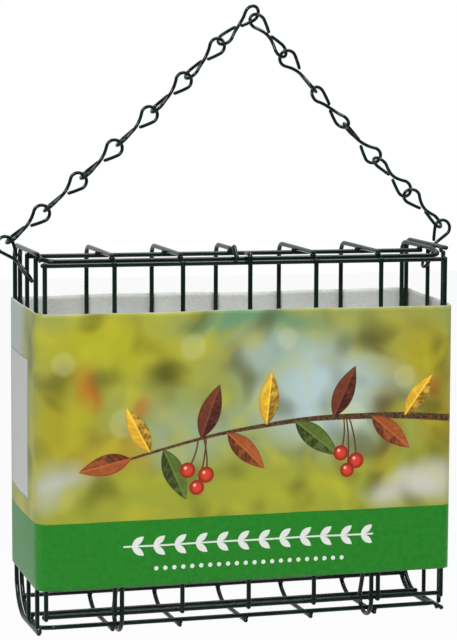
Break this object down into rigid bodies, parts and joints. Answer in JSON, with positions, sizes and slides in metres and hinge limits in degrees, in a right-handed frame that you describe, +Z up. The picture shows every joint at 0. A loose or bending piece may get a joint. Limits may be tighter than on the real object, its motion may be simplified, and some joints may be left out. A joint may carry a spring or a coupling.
{
  "type": "suet feeder",
  "caption": "Hanging wire suet feeder: a mesh cage with a drop-down door, a twisted-link chain and a printed card sleeve round the cage.",
  "frame": {"origin": "inner top of the upper eye of the chain's apex link, where the hook bears", "axes": "+Z up, door facing -Y, X across the width of the cage"},
  "size_m": [0.1773, 0.0476, 0.2291],
  "materials": {
    "coated_wire": "satin",
    "card": "matte"
  },
  "bodies": {
    "apex_link": {"apex_link": "coated_wire"},
    "link_row_7": {"left_link_7": "coated_wire", "right_link_7": "coated_wire"},
    "link_row_6": {"left_link_6": "coated_wire", "right_link_6": "coated_wire"},
    "link_row_5": {"left_link_5": "coated_wire", "right_link_5": "coated_wire"},
    "link_row_4": {"left_link_4": "coated_wire", "right_link_4": "coated_wire"},
    "link_row_3": {"left_link_3": "coated_wire", "right_link_3": "coated_wire"},
    "link_row_2": {"left_link_2": "coated_wire", "right_link_2": "coated_wire"},
    "link_row_1": {"left_link_1": "coated_wire", "right_link_1": "coated_wire"},
    "cage": {"back_lower_cross_wire": "coated_wire", "back_upper_cross_wire": "coated_wire", "bottom_cross_wire": "coated_wire", "cage_frame": "coated_wire", "left_side_front_wire": "coated_wire", "left_side_hoop": "coated_wire", "left_side_middle_wire": "coated_wire", "right_side_front_wire": "coated_wire", "right_side_hoop": "coated_wire", "right_side_middle_wire": "coated_wire", "top_cross_wire": "coated_wire", "wrap_wire_1": "coated_wire", "wrap_wire_2": "coated_wire", "wrap_wire_3": "coated_wire", "wrap_wire_4": "coated_wire", "wrap_wire_5": "coated_wire"},
    "door": {"door_bottom_wire": "coated_wire", "door_middle_wire": "coated_wire", "door_top_wire": "coated_wire", "door_upright_1": "coated_wire", "door_upright_2": "coated_wire", "door_upright_3": "coated_wire", "door_upright_4": "coated_wire", "door_upright_5": "coated_wire", "door_upright_6": "coated_wire", "door_upright_7": "coated_wire", "latch_finger": "coated_wire", "left_hinge_hook": "coated_wire", "right_hinge_hook": "coated_wire"},
    "sleeve": {"card_sleeve": "card"}
  },
  "joints": [
    {"name": "link_row_7_swing", "type": "hinge", "parent": "apex_link", "child": "link_row_7", "pos_m": [-0.00572, 0.00087, -0.00877], "axis": [0.8178, 0.1127, 0.5644], "range_deg": [-10, 10]},
    {"name": "link_row_6_swing", "type": "hinge", "parent": "link_row_7", "child": "link_row_6", "pos_m": [-0.00594, 0.00031, -0.02153], "axis": [0.9754, 0.0137, 0.22], "range_deg": [-10, 10]},
    {"name": "link_row_5_swing", "type": "hinge", "parent": "link_row_6", "child": "link_row_5", "pos_m": [-0.00623, 0.00016, -0.03427], "axis": [0.9923, 0.0067, 0.1237], "range_deg": [-10, 10]},
    {"name": "link_row_4_swing", "type": "hinge", "parent": "link_row_5", "child": "link_row_4", "pos_m": [-0.00664, 0.00047, -0.04693], "axis": [0.9968, 0.0106, 0.0789], "range_deg": [-10, 10]},
    {"name": "link_row_3_swing", "type": "hinge", "parent": "link_row_4", "child": "link_row_3", "pos_m": [-0.00714, 0.00025, -0.0594], "axis": [0.9986, 0.005, 0.0519], "range_deg": [-10, 10]},
    {"name": "link_row_2_swing", "type": "hinge", "parent": "link_row_3", "child": "link_row_2", "pos_m": [-0.0075, 0.00007, -0.07149], "axis": [0.9993, 0.001, 0.0363], "range_deg": [-10, 10]},
    {"name": "link_row_1_swing", "type": "hinge", "parent": "link_row_2", "child": "link_row_1", "pos_m": [-0.00777, 0.00011, -0.08303], "axis": [0.9997, 0.0012, 0.0262], "range_deg": [-10, 10]},
    {"name": "cage_swing", "type": "hinge", "parent": "link_row_1", "child": "cage", "pos_m": [-0.084, 0.00002, -0.10008], "axis": [0.9998, -0.0003, 0.0182], "range_deg": [-8, 8]},
    {"name": "door_hinge", "type": "hinge", "parent": "cage", "child": "door", "pos_m": [-0.00683, -0.0181, -0.22439], "axis": [1, 0, 0], "range_deg": [0, 180], "deforming": ["card_sleeve"]},
    {"name": "sleeve_slide", "type": "slide", "parent": "cage", "child": "sleeve", "axis": [0, 0, -1], "range_m": [0, 0.13]}
  ]
}
